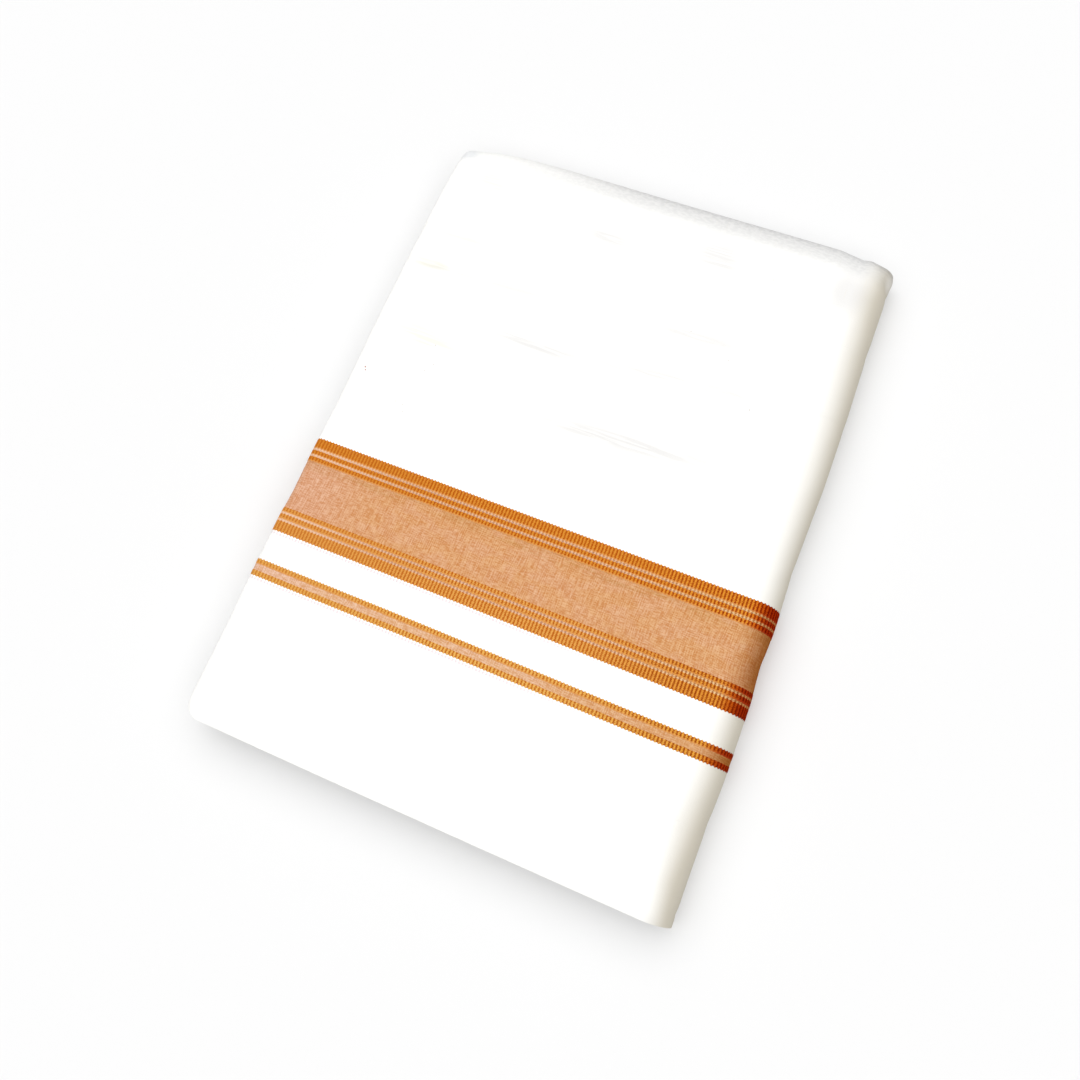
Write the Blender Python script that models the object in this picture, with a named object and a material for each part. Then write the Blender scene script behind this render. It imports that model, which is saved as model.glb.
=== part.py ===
"""A dhoti folded for the shelf: one long cotton cloth with two woven borders, pressed into a flat packet.

Metres, +Z up. The packet lies on its flat underside, and the origin is under its middle.
X runs across the packet, along the cloth's length, from the folded edge (-X) to the spine (+X).
Y runs up the packet, across the cloth's width, from the selvedge end (-Y) to the creased end (+Y).

The cloth is halved twice across its width into a strip of four plies, and the strip is halved four
times along its length into sixteen strip layers. The last fold is the spine, so the outermost strip
layer goes from the left fold over the top, round the spine and along the underside to its cut end.
"""

import math

import bmesh
import bpy

MM = 0.001

# The cloth as it is woven
CLOTH_WIDTH = 1.270
CLOTH_LENGTH = 3.600
PLY = 0.3125 * MM

# How it is folded
WIDTH_HALVINGS = 2
LENGTH_HALVINGS = 4
STRIP = PLY * 2**WIDTH_HALVINGS
LAYERS = 2**LENGTH_HALVINGS
FOLD_BULGE = 2.4 * MM

# The packet
LONG_SIDE = CLOTH_WIDTH / 2**WIDTH_HALVINGS
SHORT_SIDE = CLOTH_LENGTH / LAYERS + FOLD_BULGE
THICK = STRIP * LAYERS
LEFT = -SHORT_SIDE / 2
BOTTOM = -LONG_SIDE / 2
TOP = LONG_SIDE / 2

# Touching cloth keeps this gap
GAP = 0.3 * MM
SKIN = STRIP + GAP

# The spine is a half round over the whole thickness, the left fold one over half of it
SPINE_RADIUS = THICK / 2
SPINE_X = SHORT_SIDE / 2 - SPINE_RADIUS
FOLD_RADIUS = THICK / 4
FOLD_X = LEFT + FOLD_RADIUS
FOLD_Z = THICK - FOLD_RADIUS
FOLD_TUCK_ANGLE = 245.0
CUT_END_SETBACK = 3.4 * MM

# Borders, measured up from the selvedge end
NARROW_FROM = 67.6 * MM
NARROW_TO = 75.5 * MM
WIDE_FROM = 90.1 * MM
WIDE_TO = 138.2 * MM

# What shows at the left edge inside the wrap, from the underside up, counted in strip layers:
# the hidden cut ends, then the third fold, then the second fold
LEFT_FOLDS = (
    {"low": 1, "high": 2, "setback": 4.6 * MM, "rounded": False},
    {"low": 2, "high": 4, "setback": 1.9 * MM, "rounded": True},
    {"low": 4, "high": 8, "setback": 1.2 * MM, "rounded": True},
)
GROOVE_SETBACK = 5.3 * MM

# How far the creased end drops below a straight edge, against the place across the packet
CREASED_END = (
    {"across": 0.0 * MM, "drop": 5.4 * MM},
    {"across": 3.0 * MM, "drop": 4.9 * MM},
    {"across": 10.0 * MM, "drop": 4.1 * MM},
    {"across": 19.0 * MM, "drop": 1.8 * MM},
    {"across": 32.0 * MM, "drop": 0.6 * MM},
    {"across": 60.0 * MM, "drop": 0.0 * MM},
    {"across": 120.0 * MM, "drop": 0.4 * MM},
    {"across": 197.0 * MM, "drop": 0.5 * MM},
    {"across": 210.5 * MM, "drop": 2.1 * MM},
    {"across": 214.0 * MM, "drop": 1.6 * MM},
    {"across": 220.0 * MM, "drop": 2.1 * MM},
    {"across": 227.4 * MM, "drop": 1.4 * MM},
)

# The same for the selvedge end, above a straight edge
SELVEDGE_END = (
    {"across": 0.0 * MM, "drop": 4.8 * MM},
    {"across": 3.0 * MM, "drop": 3.0 * MM},
    {"across": 8.0 * MM, "drop": 0.5 * MM},
    {"across": 100.0 * MM, "drop": 0.2 * MM},
    {"across": 215.0 * MM, "drop": 0.4 * MM},
    {"across": 222.0 * MM, "drop": 0.8 * MM},
    {"across": 227.4 * MM, "drop": 1.3 * MM},
)

# How far the two long edges stand out, against the place up the packet
LONG_EDGES = (
    {"up": 0.0 * MM, "spine": -0.3 * MM, "fold": 0.3 * MM},
    {"up": 18.0 * MM, "spine": -0.4 * MM, "fold": -0.1 * MM},
    {"up": 40.0 * MM, "spine": -0.2 * MM, "fold": -0.2 * MM},
    {"up": 66.0 * MM, "spine": 0.6 * MM, "fold": 0.3 * MM},
    {"up": 96.0 * MM, "spine": 0.5 * MM, "fold": 0.4 * MM},
    {"up": 112.0 * MM, "spine": -0.4 * MM, "fold": -0.2 * MM},
    {"up": 130.0 * MM, "spine": 0.1 * MM, "fold": 0.0 * MM},
    {"up": 158.0 * MM, "spine": -0.5 * MM, "fold": -0.2 * MM},
    {"up": 182.0 * MM, "spine": 0.0 * MM, "fold": 0.0 * MM},
    {"up": 204.0 * MM, "spine": 0.5 * MM, "fold": 0.4 * MM},
    {"up": 232.0 * MM, "spine": 0.4 * MM, "fold": 0.3 * MM},
    {"up": 268.0 * MM, "spine": -0.3 * MM, "fold": 0.0 * MM},
    {"up": 287.5 * MM, "spine": -0.4 * MM, "fold": -0.4 * MM},
    {"up": 317.5 * MM, "spine": -0.2 * MM, "fold": -1.6 * MM},
)

# The share of the full thickness that is left near each end, against the distance from that end
CREASED_THICKNESS = (
    {"inside": 0.0 * MM, "share": 0.79},
    {"inside": 3.5 * MM, "share": 0.90},
    {"inside": 8.0 * MM, "share": 0.955},
    {"inside": 16.0 * MM, "share": 0.985},
    {"inside": 30.0 * MM, "share": 1.00},
)
SELVEDGE_THICKNESS = (
    {"inside": 0.0 * MM, "share": 0.88},
    {"inside": 3.5 * MM, "share": 0.955},
    {"inside": 8.0 * MM, "share": 0.985},
    {"inside": 16.0 * MM, "share": 1.00},
)
END_REACH = 30.0 * MM

# How far each hidden layer ends inside the wrap, from the outermost layer to the innermost
HIDDEN_SETBACKS = (
    {"creased": 0.9 * MM, "selvedge": 1.3 * MM},
    {"creased": 0.5 * MM, "selvedge": 0.6 * MM},
    {"creased": 1.4 * MM, "selvedge": 1.8 * MM},
    {"creased": 0.8 * MM, "selvedge": 0.9 * MM},
    {"creased": 1.7 * MM, "selvedge": 1.5 * MM},
    {"creased": 1.1 * MM, "selvedge": 0.7 * MM},
    {"creased": 1.5 * MM, "selvedge": 1.6 * MM},
)
LAYER_GROOVE = 0.9 * MM
WRAP_EDGE_ROUND = 0.4 * MM

# Fineness of the mesh
FOLD_STEPS = 7
SPINE_STEPS = 9
ROWS_PER_LAYER = 2
SHORTEST_STATION = 1.0 * MM
NARROWEST_COLUMN = 0.01
MERGE_DISTANCE = 0.001 * MM
SHARP_ANGLE = 50.0

COTTON_WHITE = {"colour": (0.90, 0.89, 0.86), "roughness": 0.85}
COTTON_INSIDE = {"colour": (0.80, 0.79, 0.75), "roughness": 0.90}
WIDE_BORDER = {"colour": (0.66, 0.31, 0.13), "roughness": 0.80}
NARROW_BORDER = {"colour": (0.70, 0.32, 0.11), "roughness": 0.80}


def clear_scene():
    """Removes what the file opens with."""
    for thing in list(bpy.data.objects):
        bpy.data.objects.remove(thing)


def cotton(name, look):
    """Woven cotton: one colour, dull, not a metal."""
    material = bpy.data.materials.new(name)
    material.use_nodes = True
    shader = material.node_tree.nodes["Principled BSDF"]
    shader.inputs["Base Color"].default_value = (*look["colour"], 1.0)
    shader.inputs["Roughness"].default_value = look["roughness"]
    shader.inputs["Metallic"].default_value = 0.0
    material.diffuse_color = (*look["colour"], 1.0)
    return material


def read(table, key, value, at):
    """The value of a table at a place, on straight lines between its rows."""
    if at <= table[0][key]:
        return table[0][value]
    for low, high in zip(table, table[1:]):
        if at <= high[key]:
            share = (at - low[key]) / (high[key] - low[key])
            return low[value] + (high[value] - low[value]) * share
    return table[-1][value]


def left_setback(height):
    """How far in from the left edge the hidden layers end at a height."""
    inner_radius = FOLD_RADIUS - SKIN
    off = abs(height - FOLD_Z)
    if off <= inner_radius:
        return FOLD_RADIUS - math.sqrt(inner_radius**2 - off**2)
    for fold in LEFT_FOLDS:
        low, high = fold["low"] * STRIP, fold["high"] * STRIP
        if low <= height <= high:
            if not fold["rounded"]:
                return fold["setback"]
            radius = (high - low) / 2
            off = height - (low + high) / 2
            return fold["setback"] + radius - math.sqrt(max(radius**2 - off**2, 0.0))
    return GROOVE_SETBACK


def section_point(stretch, share, depth, tucked):
    """A point of the packet's cross-section, a depth inside the outer face of the wrap.

    The left fold, the top, the spine and the underside follow each other, each from share 0 to 1.
    A tucked layer ends at the left edge's own folds, and the wrap ends at its cut end.
    """
    if stretch == "fold":
        angle = math.radians(FOLD_TUCK_ANGLE + (90.0 - FOLD_TUCK_ANGLE) * share)
        radius = FOLD_RADIUS - depth
        return FOLD_X + radius * math.cos(angle), FOLD_Z + radius * math.sin(angle)
    if stretch == "top":
        start = LEFT + left_setback(THICK - depth) if tucked else FOLD_X
        return start + (SPINE_X - start) * share, THICK - depth
    if stretch == "spine":
        angle = math.pi * (0.5 - share)
        radius = SPINE_RADIUS - depth
        return SPINE_X + radius * math.cos(angle), SPINE_RADIUS + radius * math.sin(angle)
    end = LEFT + (left_setback(depth) if tucked else CUT_END_SETBACK)
    return SPINE_X + (end - SPINE_X) * share, depth


def settle(x, station, height):
    """Moves a point of the straight packet to where the pressed packet has it.

    Station is the place along Y before the ends are shaped.
    """
    up = station - BOTTOM
    across = x - LEFT
    side = across / SHORT_SIDE
    x += read(LONG_EDGES, "up", "spine", up) * side
    x -= read(LONG_EDGES, "up", "fold", up) * (1.0 - side)
    from_top = TOP - station
    near_top = max(0.0, 1.0 - from_top / END_REACH)
    near_bottom = max(0.0, 1.0 - up / END_REACH)
    y = station
    y -= read(CREASED_END, "across", "drop", across) * near_top
    y += read(SELVEDGE_END, "across", "drop", across) * near_bottom
    share = read(CREASED_THICKNESS, "inside", "share", from_top)
    share *= read(SELVEDGE_THICKNESS, "inside", "share", up)
    return x, y, height * share


def stations_between(low, high):
    """The places along Y where a piece is shaped, its two ends among them."""
    marks = {BOTTOM + row["up"] for row in LONG_EDGES}
    marks |= {TOP - row["inside"] for row in CREASED_THICKNESS}
    marks |= {BOTTOM + row["inside"] for row in SELVEDGE_THICKNESS}
    stations = [low]
    for mark in sorted(marks):
        if stations[-1] + SHORTEST_STATION < mark < high - SHORTEST_STATION:
            stations.append(mark)
    return [*stations, high]


def top_shares():
    """Where the top and the underside are shaped, as shares of the way from left fold to spine."""
    marks = {row["across"] for table in (CREASED_END, SELVEDGE_END) for row in table}
    length = SPINE_X - FOLD_X
    shares = [(LEFT + mark - FOLD_X) / length for mark in sorted(marks)]
    between = [share for share in shares if NARROWEST_COLUMN < share < 1.0 - NARROWEST_COLUMN]
    return [0.0, *between, 1.0]


def columns_round(tucked):
    """The columns of the cross-section, from the left edge over the top round to the underside."""
    shares = top_shares()
    columns = [] if tucked else [("fold", step / FOLD_STEPS) for step in range(FOLD_STEPS)]
    columns += [("top", share) for share in shares]
    columns += [("spine", step / SPINE_STEPS) for step in range(1, SPINE_STEPS)]
    columns += [("under", 1.0 - share) for share in reversed(shares)]
    return columns


def drawn_out(columns, rows, stations):
    """A block of cells: one end as a grid of columns by rows, drawn out through the stations.

    Each point holds its column, station and row numbers as its coordinates.
    """
    bm = bmesh.new()
    across, deep = len(columns) - 1, len(rows) - 1
    bmesh.ops.create_grid(bm, x_segments=across, y_segments=deep, size=0.5)
    for vert in bm.verts:
        column = round((vert.co.x + 0.5) * across)
        row = round((vert.co.y + 0.5) * deep)
        vert.co = (column, 0.0, row)
    first_end = end = bm.faces[:]
    for _ in stations[1:]:
        made = bmesh.ops.extrude_face_region(bm, geom=end)["geom"]
        if end is not first_end:
            bmesh.ops.delete(bm, geom=end, context="FACES")
        end = [part for part in made if isinstance(part, bmesh.types.BMFace)]
        moved = [part for part in made if isinstance(part, bmesh.types.BMVert)]
        bmesh.ops.translate(bm, verts=moved, vec=(0.0, 1.0, 0.0))
    return bm


def end_setback(row, tucked, end):
    """How far a row of a block ends inside the packet's outline, at one of its two ends."""
    if not tucked:
        return 0.0 if row == 1 else WRAP_EDGE_ROUND
    layer = min(row // ROWS_PER_LAYER, len(HIDDEN_SETBACKS) - 1)
    groove = 0.0 if row % ROWS_PER_LAYER else LAYER_GROOVE
    return HIDDEN_SETBACKS[layer][end] + groove


def bend(bm, columns, rows, stations, tucked):
    """Takes each point of the block from its cell numbers to its place in the packet."""
    for vert in bm.verts:
        column, station, row = (round(value) for value in vert.co)
        x, height = section_point(*columns[column], rows[row], tucked)
        place = stations[station]
        if place == TOP:
            place -= end_setback(row, tucked, "creased")
        elif place == BOTTOM:
            place += end_setback(row, tucked, "selvedge")
        vert.co = settle(x, place, height)


def to_object(bm, name, material):
    """Closes the block's bmesh into a named object with its faces outward and its folds smooth."""
    bmesh.ops.recalc_face_normals(bm, faces=bm.faces)
    if bm.calc_volume(signed=True) < 0.0:
        bmesh.ops.reverse_faces(bm, faces=bm.faces)
    mesh = bpy.data.meshes.new(name)
    bm.to_mesh(mesh)
    bm.free()
    mesh.materials.append(material)
    mesh.shade_smooth()
    mesh.set_sharp_from_angle(angle=math.radians(SHARP_ANGLE))
    piece = bpy.data.objects.new(name, mesh)
    bpy.context.scene.collection.objects.link(piece)
    return piece


def wrap_stretch(name, low, high, material):
    """A stretch of the outermost strip layer, between two places up the packet."""
    columns = columns_round(tucked=False)
    reaches_an_end = low <= BOTTOM or high >= TOP
    rows = [0.0, STRIP / 2, STRIP] if reaches_an_end else [0.0, STRIP]
    stations = stations_between(low, high)
    bm = drawn_out(columns, rows, stations)
    bend(bm, columns, rows, stations, tucked=False)
    return to_object(bm, name, material)


def hidden_layers(material):
    """The fifteen strip layers inside the wrap: one solid, ridged where each layer ends."""
    columns = columns_round(tucked=True)
    count = len(HIDDEN_SETBACKS) * ROWS_PER_LAYER
    step = (SPINE_RADIUS - SKIN) / count
    rows = [SKIN + step * row for row in range(count + 1)]
    stations = stations_between(BOTTOM, TOP)
    bm = drawn_out(columns, rows, stations)
    middle = [face for face in bm.faces if all(round(vert.co.z) == count for vert in face.verts)]
    bmesh.ops.delete(bm, geom=middle, context="FACES")
    bend(bm, columns, rows, stations, tucked=True)
    bmesh.ops.remove_doubles(bm, verts=bm.verts, dist=MERGE_DISTANCE)
    return to_object(bm, "hidden_layers", material)


def main():
    """Builds the packet: the hidden layers, then the wrap from the selvedge end to the creased end."""
    clear_scene()
    white = cotton("white_cotton", COTTON_WHITE)
    inside = cotton("inside_cotton", COTTON_INSIDE)
    wide = cotton("wide_border_cotton", WIDE_BORDER)
    narrow = cotton("narrow_border_cotton", NARROW_BORDER)
    hidden_layers(inside)
    seam = GAP / 2
    narrow_low, narrow_high = BOTTOM + NARROW_FROM, BOTTOM + NARROW_TO
    wide_low, wide_high = BOTTOM + WIDE_FROM, BOTTOM + WIDE_TO
    wrap_stretch("field_lower", BOTTOM, narrow_low - seam, white)
    wrap_stretch("border_narrow", narrow_low + seam, narrow_high - seam, narrow)
    wrap_stretch("field_between", narrow_high + seam, wide_low - seam, white)
    wrap_stretch("border_wide", wide_low + seam, wide_high - seam, wide)
    wrap_stretch("field_upper", wide_high + seam, TOP, white)


main()
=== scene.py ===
"""The looks of a folded dhoti: one long cotton cloth with two woven borders, pressed into a flat packet.

Metres, +Z up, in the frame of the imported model. The packet lies on its underside. X runs across it, along
the cloth's length, from the folded edge (-X) to the spine (+X). Y runs up it, across the cloth's width, from
the selvedge end (-Y) to the creased end (+Y).

The cloth is a strip of four plies that is folded back and forth into sixteen layers. Its outer wrap is built
in five stretches, because the borders are woven finer than the ground, and the fifteen layers inside are one
strip that takes every fold in turn. A place on the cloth is given by two distances. Across is measured from
the left edge of the top face, over the spine and on along the underside, and is negative inside the packet.
Up is measured from the selvedge end.
"""

import math

import bmesh
import bpy
import numpy as np
from bpy.props import FloatProperty, FloatVectorProperty, PointerProperty
from mathutils import Matrix, Vector


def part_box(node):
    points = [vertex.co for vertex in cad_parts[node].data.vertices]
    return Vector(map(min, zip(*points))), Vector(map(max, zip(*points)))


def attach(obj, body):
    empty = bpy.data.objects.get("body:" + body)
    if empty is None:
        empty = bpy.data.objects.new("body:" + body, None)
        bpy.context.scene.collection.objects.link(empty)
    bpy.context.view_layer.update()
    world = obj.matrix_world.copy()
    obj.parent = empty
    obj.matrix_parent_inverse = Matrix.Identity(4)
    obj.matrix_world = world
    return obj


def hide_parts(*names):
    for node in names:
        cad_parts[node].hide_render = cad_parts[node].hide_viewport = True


bl_info = {
    "name": "Folded dhoti cloth",
    "version": (1, 0, 0),
    "blender": (4, 5, 0),
    "location": "3D View > Sidebar > Dhoti",
    "description": "Folds a bordered cotton dhoti into a flat packet and lays it on a pale studio floor",
    "category": "Object",
}

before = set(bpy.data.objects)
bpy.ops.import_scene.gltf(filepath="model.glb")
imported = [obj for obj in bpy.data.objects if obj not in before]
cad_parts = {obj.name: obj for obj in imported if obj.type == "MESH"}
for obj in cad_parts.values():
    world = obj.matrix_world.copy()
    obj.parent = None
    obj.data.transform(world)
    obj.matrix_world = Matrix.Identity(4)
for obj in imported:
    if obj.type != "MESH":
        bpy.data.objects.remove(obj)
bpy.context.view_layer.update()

MM = 0.001
BODY = "root"


def table(units, *rows):
    """Rows of values under named columns, each multiplied by its column's unit if that has one."""
    return tuple(
        {name: value if unit is None else value * unit for (name, unit), value in zip(units.items(), row)}
        for row in rows
    )


# The cloth as it is woven, and how often it is halved
CLOTH_WIDTH = 1.270
CLOTH_LENGTH = 3.600
PLIES = 4
LAYERS = 16
FOLD_BULGE = 2.4 * MM

# The packet
PLY = 0.3125 * MM
STRIP = PLY * PLIES
THICK = STRIP * LAYERS
LONG_SIDE = CLOTH_WIDTH / PLIES
SHORT_SIDE = CLOTH_LENGTH / LAYERS + FOLD_BULGE
LEFT, RIGHT = -SHORT_SIDE / 2, SHORT_SIDE / 2
BOTTOM, TOP = -LONG_SIDE / 2, LONG_SIDE / 2
SPINE_X = RIGHT - THICK / 2
SPINE_Z = THICK / 2

# What the strip does at the left edge, counted in layers from the underside: it turns round a fold, or ends
LEFT_FOLDS = (
    {"low": 2, "high": 4, "setback": 1.9 * MM},
    {"low": 4, "high": 8, "setback": 1.2 * MM},
    {"low": 8, "high": 16, "setback": 0.0 * MM},
)
CUT_ENDS = ({"layer": 1, "setback": 3.4 * MM}, {"layer": 2, "setback": 4.6 * MM})
TUCK = 7.0 * MM
LAYER_GAP = 0.08 * MM

# The borders, measured up from the selvedge end. Each border's own piece reaches a little past it, because
# the cords end in scallops and a faint fringe of coloured yarn lies below them.
BORDER_MARGIN = 2.0 * MM
NODE_SEAM = 0.15 * MM
WIDE_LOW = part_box("border_wide")[0].y - NODE_SEAM - BOTTOM
NARROW_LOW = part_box("border_narrow")[0].y - NODE_SEAM - BOTTOM

# The stripes of the wide border: how far each starts and ends above its lower edge
WIDE_STRIPES = table(
    {"kind": None, "low": MM, "high": MM},
    ("cord", 0.0, 4.95),
    ("light", 4.95, 6.05),
    ("gold", 6.05, 6.6),
    ("cord", 6.6, 8.4),
    ("light", 8.4, 9.4),
    ("gold", 9.4, 9.95),
    ("cord", 9.95, 11.65),
    ("peach", 11.65, 36.35),
    ("gold", 36.35, 36.95),
    ("cord", 36.95, 38.8),
    ("light", 38.8, 39.8),
    ("gold", 39.8, 40.3),
    ("cord", 40.3, 42.0),
    ("light", 42.0, 43.05),
    ("gold", 43.05, 43.65),
    ("cord", 43.65, 48.1),
)

# The same for the narrow border
NARROW_STRIPES = table(
    {"kind": None, "low": MM, "high": MM},
    ("cord", 0.0, 2.6),
    ("peach", 2.6, 5.5),
    ("gold", 5.5, 6.1),
    ("cord", 6.1, 8.05),
)

# How far the cloth is pulled towards the selvedge end near the spine, so that its borders slant a little
SKEW = table(
    {"up": MM, "drop": MM},
    (0.0, 0.0),
    (45.0, 1.1),
    (70.0, 1.25),
    (92.0, 1.1),
    (138.0, 0.3),
    (190.0, 0.0),
)
SKEW_FROM = 50.0 * MM
SKEW_TO = 240.0 * MM

# How far the creased end drops below a straight edge, against the place across the packet
CREASED_END = table(
    {"across": MM, "drop": MM},
    (0.0, 4.9),
    (3.0, 4.6),
    (10.0, 3.6),
    (19.0, 1.8),
    (32.0, 0.6),
    (60.0, 0.0),
    (120.0, 0.4),
    (197.0, 0.5),
    (210.5, 2.1),
    (214.0, 1.5),
    (220.0, 2.0),
    (227.4, 1.6),
)

# The same for the selvedge end, above a straight edge
SELVEDGE_END = table(
    {"across": MM, "drop": MM},
    (0.0, 4.8),
    (3.0, 3.0),
    (8.0, 0.5),
    (100.0, 0.2),
    (215.0, 0.4),
    (222.0, 0.8),
    (227.4, 1.3),
)

# How far the two long edges stand out, against the place up the packet
LONG_EDGES = table(
    {"up": MM, "spine": MM, "fold": MM},
    (0.0, 0.0, 0.3),
    (18.0, -0.1, -0.1),
    (40.0, 0.1, -0.2),
    (66.0, 0.9, 0.3),
    (96.0, 0.8, 0.4),
    (112.0, -0.1, -0.2),
    (130.0, 0.4, 0.0),
    (158.0, -0.2, -0.2),
    (182.0, 0.3, 0.0),
    (204.0, 0.8, 0.4),
    (232.0, 0.7, 0.3),
    (268.0, 0.0, 0.0),
    (287.5, -0.1, -0.4),
    (317.5, 0.1, -1.6),
)

# The share of the full thickness that is left near each end, against the distance from that end
CREASED_THICKNESS = table(
    {"inside": MM, "share": None},
    (0.0, 0.79),
    (3.5, 0.90),
    (8.0, 0.955),
    (16.0, 0.985),
    (30.0, 1.00),
)
SELVEDGE_THICKNESS = table(
    {"inside": MM, "share": None},
    (0.0, 0.88),
    (3.5, 0.955),
    (8.0, 0.985),
    (16.0, 1.00),
)
END_REACH = 30.0 * MM

# Where the top starts to fall away towards the spine, and what share of the height it loses
SHOULDER = table(
    {"up": MM, "reach": MM, "fall": None},
    (0.0, 17.0, 0.15),
    (40.0, 15.5, 0.14),
    (80.0, 13.0, 0.12),
    (150.0, 12.0, 0.11),
    (196.0, 10.5, 0.10),
    (240.0, 12.5, 0.12),
    (285.0, 15.0, 0.13),
    (317.5, 22.0, 0.15),
)

# Soft troughs (deep above zero) and ridges (below zero): the places of their two ends across the cloth and up
# it, in millimetres, how wide each is to one side, and how deep
CREASES = table(
    {"across": None, "up": None, "half": MM, "deep": MM},
    ((14, 96), (238, 243), 1.3, 0.07),
    ((120, 166), (247, 250), 1.2, 0.08),
    ((60, 98), (217, 216), 1.4, 0.07),
    ((98, 214), (220, 231), 1.1, 0.08),
    ((72, 128), (183, 188), 1.5, 0.09),
    ((116, 190), (188, 192), 1.2, 0.09),
    ((150, 222), (181, 186), 2.2, 0.10),
    ((76, 104), (286, 280), 4.0, 0.10),
    ((132, 156), (300, 283), 5.0, 0.12),
    ((20, 60), (262, 259), 3.5, 0.08),
    ((16, 44), (207, 196), 3.0, 0.08),
    ((213.5, 215.5), (78, 89), 0.8, 0.16),
    ((219, 235), (312, 300), 2.4, 0.75),
    ((222, 236), (317, 310), 2.2, -0.45),
    ((211, 209), (318, 307), 2.0, 0.45),
    ((214.5, 216), (318, 309), 2.4, -0.30),
    ((218, 237), (5.0, 6.5), 2.0, 0.40),
    ((216, 226), (196, 199), 5.0, -0.25),
    ((222, 240), (150, 166), 2.6, 0.22),
    ((221, 243), (262, 280), 3.0, 0.28),
    ((223, 244), (52, 34), 2.8, 0.25),
    ((224, 238), (112, 118), 2.4, 0.20),
    ((228, 246), (232, 221), 2.6, 0.20),
    ((-9, 3), (58, 66), 1.8, 0.16),
    ((-8, 2), (164, 158), 2.0, 0.18),
    ((-9, 4), (246, 262), 2.2, 0.20),
)

# How deep a crease is at its ends, as a share, and how much more in its middle
CREASE_AT_ENDS = 0.55
CREASE_SWELL = 0.45

# Where the painted shade of the spine starts across the packet and where it is full, against the place up it
SPINE_SHADE = table(
    {"up": MM, "start": MM, "full": MM},
    (0.0, 213.0, 225.0),
    (18.0, 211.0, 223.0),
    (40.0, 208.5, 225.0),
    (82.0, 210.0, 226.0),
    (115.0, 210.5, 227.5),
    (155.0, 211.0, 229.5),
    (215.0, 209.5, 228.0),
    (270.0, 208.0, 226.0),
    (293.0, 209.0, 223.0),
    (304.0, 209.0, 224.5),
    (317.5, 210.5, 230.0),
)
SHADE_CHART_FROM = 200.0 * MM
SHADE_CHART_TO = 240.0 * MM

# A painted highlight on the lip at the corner of the spine and the creased end, where the painted spine shade
# is weaker: its middle, half sizes, and how light it is
CORNER_PAINTED_HIGHLIGHT = {"at": (228.0 * MM, 311.0 * MM, 0.0), "size": (5.5 * MM, 9.0 * MM, 1.0), "share": 0.4}

# How the ends and left folds of the hidden layers wander: how far in they lie, how much that changes, the
# length of its waves along the strip or up the packet, where the waves start, and over which places across
# the packet the wander of the left folds grows
SETBACK = 1.05 * MM
SETBACK_WANDER = 0.85 * MM
CREASED_WAVE = 61.0 * MM
CREASED_SEED = 0.4
SELVEDGE_WAVE = 69.0 * MM
SELVEDGE_SEED = 2.9
FOLD_WANDER = 0.18 * MM
FOLD_WAVE = 47.0 * MM
FOLD_WANDER_FROM = LEFT + 30.0 * MM
FOLD_WANDER_FULL = LEFT + THICK / 5
FOLD_SEEDS = 260.0
END_FLARE = 0.08 * MM
FLARE_REACH = 9.0 * MM
FLARE_WAVE = 31.0 * MM

# The waves that make up an uneven one: how high each is, how many fit the longest, and its share of the seed
WAVES = ((0.55, 1.0, 1.0), (0.3, 2.3, 1.7), (0.15, 5.1, 0.0))

# The two ends of a strip's section: the steps round a fold, how far the flat rows keep away from the fold and
# the slit, and, as distances in from its edge, a fold of two plies between two loose selvedges
CREASE_STEPS = 6
FOLD_CLEAR = 1.05
SLIT_CLEAR = 1.3
INNER_FOLD_INSET = 0.45 * MM
INNER_SELVEDGE_INSET = 0.25 * MM
SLIT_DEPTH = 1.1 * MM
SLIT_HALF = 0.03 * MM

# Fineness of the meshes
CORD_COLUMNS = 5
GROUND_COLUMN = 1.1 * MM
GROUND_ROW = 2.2 * MM
BORDER_ROW = 1.15 * MM
HIDDEN_COLUMN = 7.0 * MM
HIDDEN_ROW = 14.0 * MM
UNDER_COLUMN = 5.0 * MM
INNER_ROW = 9.0 * MM
END_INSETS = (0.5 * MM, 1.5 * MM, 3.0 * MM, 5.5 * MM, 9.0 * MM)
TUCK_COLUMNS = 3
TURN_STEPS = 9
CORD_EASE = 0.16 * MM
CORD_FADE = 6.0 * MM
SHARP_ANGLE = math.radians(50)

# Small marks on the white: specks, and wider clouds, most of which lie along the creases as painted crease
# shade. Their places and half sizes across the cloth and up it, in millimetres, and the turn, the weight and
# the streaked share of the wider ones
SPECKS = table(
    {"at": None, "size": None, "tone": None},
    ((7.0, 179.3), (0.55, 0.75), "rust"),
    ((7.7, 177.9), (0.50, 0.60), "rust"),
    ((37.8, 191.8), (0.35, 0.40), "grey"),
    ((34.8, 201.4), (0.30, 0.35), "grey"),
    ((35.2, 187.2), (0.30, 0.35), "grey"),
    ((32.4, 167.4), (0.30, 0.35), "grey"),
    ((33.7, 164.4), (0.30, 0.35), "grey"),
    ((28.3, 168.0), (0.30, 0.35), "grey"),
    ((184.2, 220.6), (0.50, 0.40), "grey"),
    ((146.5, 249.4), (0.35, 0.30), "grey"),
    ((167.5, 241.0), (0.30, 0.30), "grey"),
    ((174.2, 288.0), (0.35, 0.40), "grey"),
)
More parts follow.
